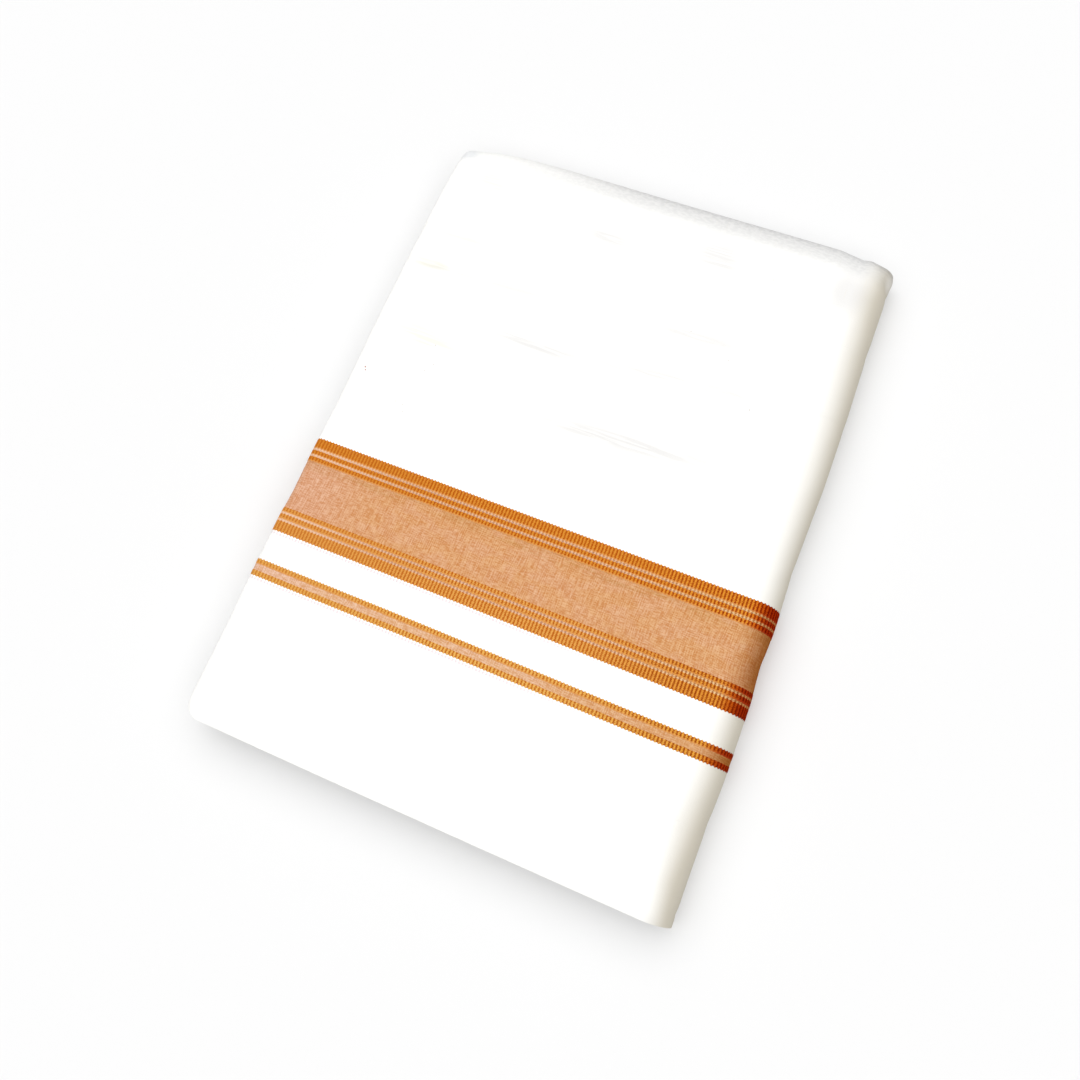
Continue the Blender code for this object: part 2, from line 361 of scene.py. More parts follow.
CLOUDS = table(
    {"at": None, "size": None, "turn": None, "tone": None, "weight": None, "streaks": None},
    ((14.0, 242.0), (15.0, 4.5), 2, "cream", 1.0, 0.5),
    ((55.0, 242.5), (62.0, 3.5), 3, "grey", 0.7, 0.5),
    ((150.0, 247.5), (38.0, 4.0), 3, "grey", 0.8, 0.5),
    ((78.0, 217.5), (34.0, 5.0), -2, "grey", 1.0, 0.5),
    ((150.0, 223.5), (84.0, 4.0), 5, "grey", 0.8, 0.5),
    ((135.0, 186.5), (72.0, 6.0), 4, "grey", 1.0, 0.5),
    ((150.0, 179.0), (78.0, 10.0), 2, "grey", 0.45, 0.5),
    ((30.0, 203.0), (30.0, 8.0), -12, "cream", 0.8, 0.5),
    ((24.0, 296.0), (16.0, 12.0), -40, "cream", 0.6, 0.5),
    ((92.0, 284.0), (20.0, 7.0), -8, "grey", 0.9, 0.5),
    ((146.0, 291.0), (20.0, 16.0), -30, "grey", 0.9, 0.5),
    ((26.0, 260.0), (36.0, 5.0), -4, "cream", 0.6, 0.5),
    # Painted spine shade beside the spine's corner
    ((208.0, 293.0), (13.0, 19.0), 0, "grey", 0.9, 0.0),
    # Painted bluish light on the thin corner at the upper left
    ((4.0, 312.0), (8.0, 7.0), 30, "blue", 1.2, 0.2),
)

# The view of the photograph, as a turn round the packet, a height, a tilt of the frame and a distance
CAMERA_TURN = math.radians(38.427)
CAMERA_HEIGHT = math.radians(74.258)
CAMERA_TILT = math.radians(-16.804)
CAMERA_DISTANCE = 361.1 * MM
CAMERA_AIM = Vector((4.83 * MM, -29.25 * MM, THICK))
CAMERA_LENS = 27.024
CAMERA_SENSOR = 36.0
CAMERA_NEAR = 0.01
CAMERA_FAR = 20.0

# Light and floor
FLOOR_SIZE = 6.0
FLOOR_Z = -0.2 * MM
FLOOR_PALE = 0.775
OVERHEAD_FROM = Vector((0.0, 0.0, 1.0))
OVERHEAD_SPREAD = math.radians(115)
KEY_FROM = Vector((-0.55, 0.60, 0.95))
KEY_SPREAD = math.radians(60)
COUNTER_FROM = Vector((0.60, -0.45, 0.75))
COUNTER_SPREAD = math.radians(60)

# Cloth surfaces
CLOTH_MAP = "cloth"
CLOTH_SHINE = 0.0
WHITE_ROUGHNESS = 0.9
BORDER_ROUGHNESS = 0.8
THREAD_RELIEF = 0.05 * MM
SCALLOP = 0.22 * MM

# Which kind of weave a stripe has: red for cords, green for light lines, blue for the plain centre, and
# opaque where the cords are golden
GROUND_MASK = (0.0, 0.0, 0.0, 0.0)
STRIPE_MASKS = {
    "cord": (1.0, 0.0, 0.0, 0.0),
    "gold": (1.0, 0.0, 0.0, 1.0),
    "light": (0.0, 1.0, 0.0, 0.0),
    "peach": (0.0, 0.0, 1.0, 0.0),
}

# What the colours are multiplied by in places, painted shade among them
SLUB_TONE = (0.90, 0.885, 0.845)
# Cloud tones: the grey and cream clouds are mostly painted crease shade, the blue one painted bluish light
CLOUD_TONES = {"grey": (0.83, 0.825, 0.83), "cream": (0.87, 0.86, 0.79), "blue": (0.86, 0.875, 0.90)}
SPECK_TONES = {"grey": (0.52, 0.47, 0.42), "rust": (0.40, 0.14, 0.11)}
# Painted shade round the spine and at the creased end
WHITE_IN_PAINTED_SPINE_SHADE = (0.62, 0.58, 0.50)
WHITE_IN_PAINTED_END_SHADE = (0.60, 0.60, 0.612)
UPPER_CORDS = (0.92, 0.75, 0.42)
LOWER_CRESTS_AT_RIGHT = (0.97, 0.79, 0.42)
LOWER_GROOVES_AT_RIGHT = (0.63, 0.455, 0.33)
UPPER_CRESTS_AT_RIGHT = (1.10, 1.07, 0.82)
UPPER_GROOVES_AT_RIGHT = (0.70, 0.46, 0.60)
# Painted shade of the spine's turn: the cords redden and darken, and the light lines and the peach darken
CORDS_REDDENED_BY_PAINTED_SHADE = (1.0, 0.65, 0.35)
CORDS_IN_PAINTED_SPINE_SHADE = (0.45, 0.14, 0.2)
LIGHT_LINES_IN_PAINTED_SPINE_SHADE = (0.60, 0.42, 0.30)
PEACH_IN_PAINTED_SPINE_SHADE = (0.52, 0.35, 0.18)
PEACH_GAP = (0.76, 0.54, 0.35)
PEACH_SLUB = (0.96, 0.90, 0.82)
PEACH_STREAK = (0.90, 0.88, 0.76)

# Colours of the mixed yarns and of the gaps between them, and how much of the gold covers the orange
GOLD_EDGE = (0.64, 0.29, 0.088)
GOLD_SHARE = 0.75
LIGHT_LINE_GAP = (0.40, 0.185, 0.105)
LIGHT_GAP_AT_LEFT = (0.60, 0.34, 0.21)
LIGHT_GAP_AT_RIGHT = (0.33, 0.12, 0.035)
LIGHT_LINE_AT_LEFT = (0.75, 0.51, 0.36)
LIGHT_LINE_AT_RIGHT = (0.72, 0.47, 0.235)
FRINGE_TONE = (0.76, 0.67, 0.69)

# Relief and unevenness of the plain weave
WEAVE_SWING = 0.35
WEAVE_UNEVEN = 0.4
LONG_THREADS = (6.0 * MM, 0.5 * MM)
CROSS_THREADS = (0.5 * MM, 6.0 * MM)

# Thicker places in the yarn: how long and wide they are, their share of the cloth, and how high they stand
SLUBS = {"Lengthwise": (22.0 * MM, 0.75 * MM), "Crosswise": (0.8 * MM, 16.0 * MM)}
SLUB_EDGE = 0.12
WHITE_SLUBS = 0.28
BORDER_SLUBS = 0.36
SLUB_RELIEF = 0.8

# The beads of the cords, and the uneven yarn in them
BEAD_PITCH = 0.74 * MM
BEAD_STAGGER = 0.37
BEAD_AMOUNT = 0.25
CORD_YARN = (0.8 * MM, 0.6 * MM)
CORD_YARN_SWING = (0.3, 0.7, -0.3, 0.3)
CORD_LEVELS = (-0.05, 1.0)

# Streaks in the clouds on the white, and how a mark fades from its middle to its edge
MARK_STREAKS = (24.0 * MM, 1.5 * MM)
MARK_STREAK_LEVELS = (0.38, 0.60)
MARK_FADE = (0.2, 1.0, 1.0, 0.0)

# The plain centre of a border: its pinker patches, its coloured threads, and the streaks near its upper cords
PATCHES = (12.0 * MM, 7.0 * MM)
PATCH_LEVELS = (0.38, 0.64, 0.2, 0.5)
PINK_AT_LEFT = 0.95
PEACH_LONG_YARNS = (3.2 * MM, 0.45 * MM)
PEACH_CROSS_YARNS = (0.45 * MM, 5.5 * MM)
PEACH_WEAVE = 0.5
PEACH_THREADS = (1.78, 1.14)
PEACH_STREAKS = (24.0 * MM, 0.9 * MM)
PEACH_STREAK_LEVELS = (0.35, 0.65)
PEACH_STREAKS_FROM = 31.0 * MM
PEACH_STREAKS_FULL = 34.0 * MM

# The fringe below a border: where its dots start and end, up from the border's lower edge, and their yarn
FRINGE_START = (-2.0 * MM, -1.4 * MM)
FRINGE_END = (-0.8 * MM, -0.3 * MM)
FRINGE_LEVELS = (0.1, 0.7)

# Where tones come and go across or up the cloth: from one place to another, and from one share to another
AT_LEFT = (4.0 * MM, 62.0 * MM, 1.0, 0.0)
AT_RIGHT = (105.0 * MM, 222.0 * MM)
FAR_RIGHT = (140.0 * MM, 222.0 * MM)
UPPER_STRIPES = (110.0 * MM, 125.0 * MM)
BLURRED_AT_LEFT = (20.0 * MM, 95.0 * MM, 0.38, 0.0)

# The painted shade of the creased end: an early and a late part of it up the cloth, their shares near the
# spine's corner, how it grows across the packet, and how mottled it is
CREASE_EARLY = (LONG_SIDE - 17.0 * MM, LONG_SIDE - 6.5 * MM, 0.0, 0.60)
CREASE_EARLY_AT_CORNER = (211.0 * MM, 218.0 * MM, 1.0, 0.45)
CREASE_LATE = (LONG_SIDE - 7.5 * MM, LONG_SIDE, 0.0, 0.34)
CREASE_LATE_AT_CORNER = (211.0 * MM, 218.0 * MM, 1.0, 2.0)
CREASE_DEPTH = (10.0 * MM, 115.0 * MM, 0.3, 1.0)
CREASE_MOTTLE = (2.4 * MM, 1.3 * MM)
CREASE_MOTTLE_LEVELS = (0.3, 0.7, 0.86, 1.14)

# The borders: what their surfaces are called, where they lie, and their own colours and tones
BORDERS = (
    {
        "name": "Wide border weave",
        "chart": "Wide border chart",
        "base": WIDE_LOW,
        "stripes": WIDE_STRIPES,
        "yarns": ("peach", "peach_pink"),
        "at_right": (0.99, 1.0, 0.98),
        "cords": (1.0, 1.0, 1.0),
    },
    {
        "name": "Narrow border weave",
        "chart": "Narrow border chart",
        "base": NARROW_LOW,
        "stripes": NARROW_STRIPES,
        "yarns": ("peach_pale", "peach_pale_pink"),
        "at_right": (0.90, 0.80, 0.62),
        "cords": (1.05, 1.21, 1.3),
    },
)


def size(title, text, amount):
    """A setting for a length."""
    return FloatProperty(name=title, description=text, default=amount, min=0.0, unit="LENGTH")


def colour(title, text, amount):
    """A setting for a colour."""
    limits = {"min": 0.0, "max": 1.0}
    return FloatVectorProperty(name=title, description=text, default=amount, subtype="COLOR", **limits)


def strength(title, text, amount):
    """A setting for the strength of a light."""
    return FloatProperty(name=title, description=text, default=amount, min=0.0)


class DhotiWeave(bpy.types.PropertyGroup):
    """Sizes of the weave."""

    cord_pitch: size("Cord pitch", "Distance from one cord of the orange stripes to the next", 1.61 * MM)
    cord_height: size("Cord height", "How far the cords stand out of the cloth", 0.13 * MM)
    thread_pitch: size("Thread pitch", "Distance from one thread of the plain weave to the next", 0.42 * MM)


class DhotiColours(bpy.types.PropertyGroup):
    """Colours of the yarns."""

    white: colour("White", "Bleached cotton of the ground", (0.90, 0.895, 0.875))
    # Darker than the white, as painted shade between the layers
    white_in_painted_shade: colour("White in painted shade, inside", "The same cotton between the layers", (0.68, 0.675, 0.66))
    orange_crest: colour("Orange, crests", "Orange yarn on the crests of the cords", (0.690, 0.330, 0.074))
    orange_groove: colour("Orange, grooves", "Orange yarn between the cords", (0.425, 0.098, 0.007))
    peach: colour("Peach", "Centre of the wide border, where orange crosses white", (0.667, 0.383, 0.182))
    peach_pink: colour("Peach, pinker", "Pinker patches of that centre", (0.688, 0.420, 0.292))
    peach_pale: colour("Pale peach", "Centre of the narrow border, with more white", (0.718, 0.475, 0.290))
    peach_pale_pink: colour("Pale peach, pinker", "Pinker patches of that centre", (0.744, 0.527, 0.420))
    light_line: colour("Light line", "Dotted light lines between the orange stripes", (0.700, 0.430, 0.270))


class DhotiStage(bpy.types.PropertyGroup):
    """Strengths of the lights."""

    overhead_strength: strength("Overhead light", "Wide soft light from straight above", 3.05)
    key_strength: strength("Key light", "Soft light from the upper left", 0.55)
    counter_strength: strength("Counter light", "Weaker soft light from the lower right", 0.32)
    fill_strength: strength("Fill light", "Even light from all round", 0.10)


def along(rows, key, value, places):
    """A table's values at an array of places, on a smooth curve through its rows that overshoots none."""
    at = np.array([row[key] for row in rows])
    given = np.array([row[value] for row in rows])
    step = np.diff(at)
    slope = np.diff(given) / step
    both = slope[:-1] * slope[1:]
    total = slope[:-1] + slope[1:]
    inner = np.where(both > 0.0, 2.0 * both / np.where(total == 0.0, 1.0, total), 0.0)
    tangent = np.concatenate([slope[:1], inner, slope[-1:]])
    row = np.clip(np.searchsorted(at, places) - 1, 0, len(step) - 1)
    share = np.clip((places - at[row]) / step[row], 0.0, 1.0)
    rest = 1.0 - share
    start = given[row] * (1.0 + 2.0 * share) * rest**2
    end = given[row + 1] * (1.0 + 2.0 * rest) * share**2
    lean = step[row] * (tangent[row] * rest - tangent[row + 1] * share)
    return start + end + lean * share * rest


def ease(values, low, high):
    """0 below the low value, 1 above the high one, and a soft step between."""
    share = np.clip((values - low) / (high - low), 0.0, 1.0)
    return share**2 * (3.0 - 2.0 * share)


def wander(places, wave, seed):
    """An uneven wave between about -1 and 1, the same each time."""
    turn = 2.0 * math.pi * places / wave
    return sum(high * np.sin(times * turn + share * seed) for high, times, share in WAVES)


def layer_height(layer):
    """The height of the middle of a strip layer, counted from 1 at the underside."""
    return (layer - 0.5) * STRIP


def strip_route():
    """The strip's way through the packet, from its cut end on the underside to the one above it.

    It is a list of straight runs along a layer and of turns from one layer to another. Each has a start, as
    a distance along the strip, and a length. A turn goes round the spine (side 1) or a left fold (side -1).
    """
    route = []
    start = 0.0

    def add(stretch, length):
        nonlocal start
        route.append({**stretch, "start": start, "length": length})
        start += length

    layer = CUT_ENDS[0]["layer"]
    left = LEFT + CUT_ENDS[0]["setback"]
    while True:
        add({"kind": "run", "layer": layer, "x": left, "side": 1}, SPINE_X - left)
        partner = LAYERS + 1 - layer
        radius = abs(layer_height(layer) - SPINE_Z)
        turn = {"kind": "turn", "layer": layer, "x": SPINE_X, "z": SPINE_Z, "side": 1}
        add({**turn, "radius": radius}, math.pi * radius)
        layer = partner
        fold = next((fold for fold in LEFT_FOLDS if fold["low"] < layer <= fold["high"]), None)
        if fold is None:
            end = next(end for end in CUT_ENDS if end["layer"] == layer)
            left = LEFT + end["setback"]
            add({"kind": "run", "layer": layer, "x": SPINE_X, "side": -1}, SPINE_X - left)
            return route
        left = LEFT + fold["setback"] + STRIP * (fold["high"] - fold["low"]) / 2
        add({"kind": "run", "layer": layer, "x": SPINE_X, "side": -1}, SPINE_X - left)
        partner = fold["low"] + fold["high"] + 1 - layer
        middle = STRIP * (fold["low"] + fold["high"]) / 2
        radius = abs(layer_height(layer) - middle)
        turn = {"kind": "turn", "layer": layer, "x": left, "z": middle, "side": -1}
        add({**turn, "radius": radius}, math.pi * radius)
        layer = partner


# The route of the strip: its first stretches make the outer wrap, and the others the layers inside
ROUTE = strip_route()
UNDER_RUN, SPINE_TURN, TOP_RUN, LEFT_TURN, TUCKED_RUN, *INNER_ROUTE = ROUTE
WRAP_LENGTH = TUCKED_RUN["start"] + TUCK
ROUTE_LENGTH = ROUTE[-1]["start"] + ROUTE[-1]["length"]
ACROSS_AT_SPINE = SPINE_X - LEFT
ACROSS_UNDERNEATH = ACROSS_AT_SPINE + SPINE_TURN["length"]
ACROSS_AT_CUT_END = ACROSS_AT_SPINE + TOP_RUN["start"]

# Where the painted shade of the spine comes and goes across the cloth: on the cloth, and on its cords
SPINE_SHADE_ENDS = (ACROSS_AT_SPINE + 20.0 * MM, ACROSS_UNDERNEATH, 1.0, 0.0)
CORD_SHADE_ENDS = (ACROSS_AT_SPINE + 14.0 * MM, ACROSS_AT_SPINE + 22.0 * MM, 1.0, 0.3)
CORD_TURNS = {
    "Spine cords": (ACROSS_AT_SPINE - 5.0 * MM, ACROSS_AT_SPINE + 6.0 * MM),
    "Reddened cords": (ACROSS_AT_SPINE - 5.0 * MM, ACROSS_AT_SPINE + 2.0 * MM),
}


def section(distances):
    """Where the middle of the strip lies at distances along it, and the way its outer face looks: x and z."""
    x, z, out_x, out_z = (np.zeros(len(distances)) for _ in range(4))
    for stretch in ROUTE:
        gone = distances - stretch["start"]
        here = (gone >= 0.0) & (gone <= stretch["length"])
        side = stretch["side"]
        if stretch["kind"] == "run":
            x[here] = stretch["x"] + side * gone[here]
            z[here] = layer_height(stretch["layer"])
            out_x[here] = 0.0
            out_z[here] = -side
        else:
            angle = gone[here] / stretch["radius"]
            rise = layer_height(stretch["layer"]) - stretch["z"]
            x[here] = stretch["x"] + side * stretch["radius"] * np.sin(angle)
            z[here] = stretch["z"] + rise * np.cos(angle)
            out_x[here] = -rise * np.sin(angle) / stretch["radius"]
            out_z[here] = -side * np.cos(angle)
    return x, z, out_x, out_z


def settle(x, station, height):
    """Moves points of the straight packet to where the pressed packet has them."""
    up = station - BOTTOM
    across = x - LEFT
    side = across / SHORT_SIDE
    from_top = TOP - station
    moved_x = x + along(LONG_EDGES, "up", "spine", up) * side
    moved_x = moved_x - along(LONG_EDGES, "up", "fold", up) * (1.0 - side)
    near_top = np.clip(1.0 - from_top / END_REACH, 0.0, 1.0)
    near_bottom = np.clip(1.0 - up / END_REACH, 0.0, 1.0)
    y = station - along(CREASED_END, "across", "drop", across) * near_top
    y = y + along(SELVEDGE_END, "across", "drop", across) * near_bottom
    share = along(CREASED_THICKNESS, "inside", "share", from_top)
    share = share * along(SELVEDGE_THICKNESS, "inside", "share", up)
    reach = along(SHOULDER, "up", "reach", up)
    fall = along(SHOULDER, "up", "fall", up)
    near_spine = np.clip((x - (RIGHT - reach)) / reach, 0.0, 1.0)
    return moved_x, y, height * share * (1.0 - fall * near_spine**2)


def crease_relief(across, up):
    """How far the creases let the cloth sink in (above zero) or stand out at places on it."""
    sunk = np.zeros(np.broadcast(across, up).shape)
    for crease in CREASES:
        (start_x, end_x), (start_y, end_y) = crease["across"], crease["up"]
        way = np.array((end_x - start_x, end_y - start_y)) * MM
        length = float(np.hypot(*way))
        way /= length
        gone_x, gone_y = across - start_x * MM, up - start_y * MM
        ahead = gone_x * way[0] + gone_y * way[1]
        aside = gone_y * way[0] - gone_x * way[1]
        past = np.maximum(np.maximum(-ahead, ahead - length), 0.0)
        off = (aside**2 + past**2) / crease["half"] ** 2
        swell = np.sin(math.pi * np.clip(ahead / length, 0.0, 1.0))
        sunk += crease["deep"] * np.exp(-off) * (CREASE_AT_ENDS + CREASE_SWELL * swell)
    return sunk


def cord_relief(across, up, weave):
    """How far the cords of the orange stripes stand out at places on the cloth."""
    rows = np.zeros(up.shape)
    for border in BORDERS:
        for stripe in border["stripes"]:
            if stripe["kind"] != "peach":
                low, high = border["base"] + stripe["low"], border["base"] + stripe["high"]
                rise = ease(up, low - CORD_EASE, low + CORD_EASE)
                rows = np.maximum(rows, rise * (1.0 - ease(up, high - CORD_EASE, high + CORD_EASE)))
    wave = 0.5 + 0.5 * np.cos(2.0 * math.pi * across / weave.cord_pitch)
    shown = ease(across, -2.0 * CORD_FADE, -CORD_FADE)
    shown = shown * (1.0 - ease(across, ACROSS_UNDERNEATH - CORD_FADE, ACROSS_UNDERNEATH))
    return weave.cord_height * rows * np.sqrt(wave) * shown


def spaced(start, end, step):
    """Places from start to end, no further apart than step, the end left out."""
    count = max(1, math.ceil(abs(end - start) / abs(step)))
    return list(np.linspace(start, end, count, endpoint=False))


def wrap_columns(step):
    """Where the wrap's mesh has its columns, as distances along the strip: fine where it shows."""
    places = spaced(0.0, UNDER_RUN["length"], UNDER_COLUMN)
    for stretch in (SPINE_TURN, TOP_RUN, LEFT_TURN):
        places += spaced(stretch["start"], stretch["start"] + stretch["length"], step)
    places += spaced(TUCKED_RUN["start"], WRAP_LENGTH, TUCK / TUCK_COLUMNS)
    return np.array([*places, WRAP_LENGTH])


def hidden_columns():
    """Where the mesh of the hidden layers has its columns, as distances along the strip."""
    places = spaced(WRAP_LENGTH, TUCKED_RUN["start"] + TUCKED_RUN["length"], HIDDEN_COLUMN)
    for stretch in INNER_ROUTE:
        start, length = stretch["start"], stretch["length"]
        step = length / TURN_STEPS if stretch["kind"] == "turn" else HIDDEN_COLUMN
        places += spaced(start, start + length, step)
    return np.array([*places, ROUTE_LENGTH])


def end_rows(low, high, step):
    """Rows between two places that crowd together near the packet's ends."""
    rows = []
    for inset in END_INSETS:
        rows += [inset] if low <= inset else []
        rows += [LONG_SIDE - inset] if high >= LONG_SIDE - inset else []
    rows = [row for row in rows if low < row < high]
    clear = [row for row in spaced(low, high, step)[1:] if all(abs(row - near) > step / 2 for near in rows)]
    return sorted([low, *rows, *clear, high])


def border_rows(base, stripes):
    """Rows of a border, two at each edge of a stripe so that the cords can end there."""
    low, high = base - BORDER_MARGIN, base + stripes[-1]["high"] + BORDER_MARGIN
    rows = {low, high}
    for stripe in stripes:
        start, end = base + stripe["low"] + CORD_EASE, base + stripe["high"] - CORD_EASE
        rows |= {start - 2 * CORD_EASE, end + 2 * CORD_EASE, *spaced(start, end, BORDER_ROW), end}
    return sorted(rows)


def strip_outline(rows, thick, inner_step):
    """The strip's section across its width, as a closed round of places up the cloth and depths.

    Depth is measured from the outer face. A section that reaches the creased end closes there in a fold, and
    one that reaches the selvedge end shows a fold of two plies between two loose selvedges.
    """
    low, high = rows[0], rows[-1]
    radius = thick / 2
    creased, selvedge = high >= LONG_SIDE, low <= 0.0
    outer = [row for row in rows if not creased or row < high - radius * FOLD_CLEAR]
    outline = [(row, 0.0) for row in outer]
    if creased:
        for step in range(CREASE_STEPS + 1):
            angle = math.pi * step / CREASE_STEPS
            outline.append((high - radius * (1.0 - math.sin(angle)), radius * (1.0 - math.cos(angle))))
    else:
        outline.append((high, thick))
    last = high - radius if creased else high
    first = low + SLIT_DEPTH * SLIT_CLEAR if selvedge else low
    outline += [(row, thick) for row in spaced(last, first, inner_step)[1:]]
    outline.append((first, thick))
    if selvedge:
        ply = thick / PLIES
        for step in range(CREASE_STEPS + 1):
            angle = math.pi * step / CREASE_STEPS
            inset = INNER_FOLD_INSET + ply * (1.0 - math.sin(angle))
            depth = thick - ply * (1.0 - math.cos(angle)) + SLIT_HALF * step / CREASE_STEPS
            outline.append((low + inset, depth))
        outline.append((low + SLIT_DEPTH, 2 * ply))
        outline.append((low + INNER_SELVEDGE_INSET, 2 * ply - SLIT_HALF))
        outline.append((low + INNER_SELVEDGE_INSET, ply + SLIT_HALF))
        outline.append((low + SLIT_DEPTH, ply))
        outline.append((low, ply - SLIT_HALF))
    return outline


def place_strip(distances, outline, thick, weave, hidden):
    """Where each point of a strip's mesh lies, as an array of columns by rows of x, y and z."""
    ups = np.array([up for up, _ in outline])[None, :]
    depths = np.array([depth for _, depth in outline])[None, :]
    across = (ACROSS_AT_CUT_END - distances)[:, None]
    middle_x, middle_z, out_x, out_z = (part[:, None] for part in section(distances))
    outward = thick / 2 - depths
    slant = ease(across, SKEW_FROM, SKEW_TO) * (1.0 - ease(across, ACROSS_UNDERNEATH, ACROSS_AT_CUT_END))
    station = BOTTOM + ups - along(SKEW, "up", "drop", ups) * slant
    if hidden:
        near_top = np.clip(1.0 - (LONG_SIDE - ups) / END_REACH, 0.0, 1.0)
        near_bottom = np.clip(1.0 - ups / END_REACH, 0.0, 1.0)
        from_crease = SETBACK + SETBACK_WANDER * wander(across, CREASED_WAVE, CREASED_SEED)
        from_selvedge = SETBACK + SETBACK_WANDER * wander(across, SELVEDGE_WAVE, SELVEDGE_SEED)
        station = station - near_top * from_crease
        station = station + near_bottom * from_selvedge
        flare = ease(ups, LONG_SIDE - FLARE_REACH, LONG_SIDE) + ease(-ups, -FLARE_REACH, 0.0)
        outward = outward + END_FLARE * flare * wander(across, FLARE_WAVE, CREASED_SEED)
    else:
        outward = outward - crease_relief(across, ups)
        outward = outward + np.where(depths == 0.0, cord_relief(across, ups, weave), 0.0)
    x = middle_x + out_x * outward
    z = middle_z + out_z * outward
    if hidden:
        near_left = ease(-x, -FOLD_WANDER_FROM, -FOLD_WANDER_FULL)
        x = x + FOLD_WANDER * near_left * (1.0 + wander(ups, FOLD_WAVE, middle_z * FOLD_SEEDS))
    return np.stack(settle(x, station, z), axis=-1)


def strip_mesh(distances, outline, places):
    """A closed bmesh of a strip: a grid of columns by rows that is joined round and closed at its cut ends.

    Its UV map holds the places on the cloth, in metres. Faces of the outer face have material 0, others 1.
    """
    bm = bmesh.new()
    uv = bm.loops.layers.uv.new(CLOTH_MAP)
    across, around = len(distances) - 1, len(outline)
    bmesh.ops.create_grid(bm, x_segments=across, y_segments=around, size=0.5)
    cells = {}
    for vert in bm.verts:
        vert.co = (round((vert.co.x + 0.5) * across), round((vert.co.y + 0.5) * around), 0.0)
        cells[round(vert.co.x), round(vert.co.y)] = vert
    ups = [up for up, _ in outline] + [outline[0][0]]
    depths = [depth for _, depth in outline] + [outline[0][1]]

    def map_face(face):
        for loop in face.loops:
            column, row = round(loop.vert.co.x), round(loop.vert.co.y)
            loop[uv].uv = (ACROSS_AT_CUT_END - distances[column], ups[row])

    for face in bm.faces:
        rows = {round(loop.vert.co.y) for loop in face.loops}
        face.material_index = 0 if all(depths[row] == 0.0 for row in rows) else 1
        map_face(face)
    joined = {cells[column, around]: cells[column, 0] for column in range(across + 1)}
    bmesh.ops.weld_verts(bm, targetmap=joined)
    edges = [edge for edge in bm.edges if edge.is_boundary]
    for face in bmesh.ops.holes_fill(bm, edges=edges, sides=0)["faces"]:
        face.material_index = 0
        map_face(face)
    for vert in bm.verts:
        column, row = round(vert.co.x), round(vert.co.y)
        vert.co = places[column, row]
    bmesh.ops.recalc_face_normals(bm, faces=bm.faces)
    if bm.calc_volume(signed=True) < 0.0:
        bmesh.ops.reverse_faces(bm, faces=bm.faces)
    return bm


def add_object(name, data):
    """A new object of this name in the scene."""
    item = bpy.data.objects.new(name, data)
    bpy.context.scene.collection.objects.link(item)
    return item


def to_piece(bm, name, materials):
    """The bmesh as a named object with its materials and smooth faces."""
    mesh = bpy.data.meshes.new(name)
    bm.to_mesh(mesh)
    bm.free()
    for material in materials:
        mesh.materials.append(material)
    mesh.shade_smooth()
    mesh.set_sharp_from_angle(angle=SHARP_ANGLE)
    return add_object(name, mesh)


def feed(tree, socket, value):
    """Links an output to a socket, or sets the socket to a plain value."""
    if isinstance(value, bpy.types.NodeSocket):
        tree.links.new(value, socket)
    elif isinstance(value, tuple) and socket.type == "RGBA":
        socket.default_value = (*value, 1.0)
    else:
        socket.default_value = value


def calc(tree, operation, *values):
    """The output of a math node."""
    node = tree.nodes.new("ShaderNodeMath")
    node.operation = operation
    for socket, value in zip(node.inputs, values):
        feed(tree, socket, value)
    return node.outputs[0]


def times(tree, first, second):
    """The product of two values."""
    return calc(tree, "MULTIPLY", first, second)


def vector_calc(tree, operation, *values):
    """What a vector math node puts out: a vector, or the length of one."""
    node = tree.nodes.new("ShaderNodeVectorMath")
    node.operation = operation
    for socket, value in zip(node.inputs, values):
        feed(tree, socket, value)
    return node.outputs["Value" if operation == "LENGTH" else "Vector"]


def soft_step(tree, value, low, high, start=0.0, end=1.0):
    """A value that goes softly from start to end while another goes from low to high."""
    node = tree.nodes.new("ShaderNodeMapRange")
    node.interpolation_type = "SMOOTHSTEP"
    for socket, amount in zip(node.inputs, (value, low, high, start, end)):
        feed(tree, socket, amount)
    return node.outputs["Result"]


def blend_colours(tree, share, first, second, way="MIX"):
    """The colour that a mix node puts out."""
    node = tree.nodes.new("ShaderNodeMix")
    node.data_type = "RGBA"
    node.blend_type = way
    share_input, first_input, second_input = (node.inputs[index] for index in (0, 6, 7))
    feed(tree, share_input, share)
    feed(tree, first_input, first)
    feed(tree, second_input, second)
    return node.outputs[2]


def tint(tree, share, colour, tone):
    """A colour that is multiplied by a tone, as far as the share says."""
    return blend_colours(tree, share, colour, tone, "MULTIPLY")


def split(tree, place):
    """A place on the cloth as its two distances, across the cloth and up it."""
    node = tree.nodes.new("ShaderNodeSeparateXYZ")
    feed(tree, node.inputs[0], place)
    return node.outputs["X"], node.outputs["Y"]


def noise(tree, place, stretch, detail=2.0):
    """Noise between 0 and 1 whose grain has these lengths along the cloth's two ways, in metres."""
    scaled = vector_calc(tree, "DIVIDE", place, (stretch[0], stretch[1], 1.0))
    node = tree.nodes.new("ShaderNodeTexNoise")
    node.noise_dimensions = "2D"
    feed(tree, node.inputs["Vector"], scaled)
    feed(tree, node.inputs["Scale"], 1.0)
    feed(tree, node.inputs["Detail"], detail)
    return node.outputs[0]


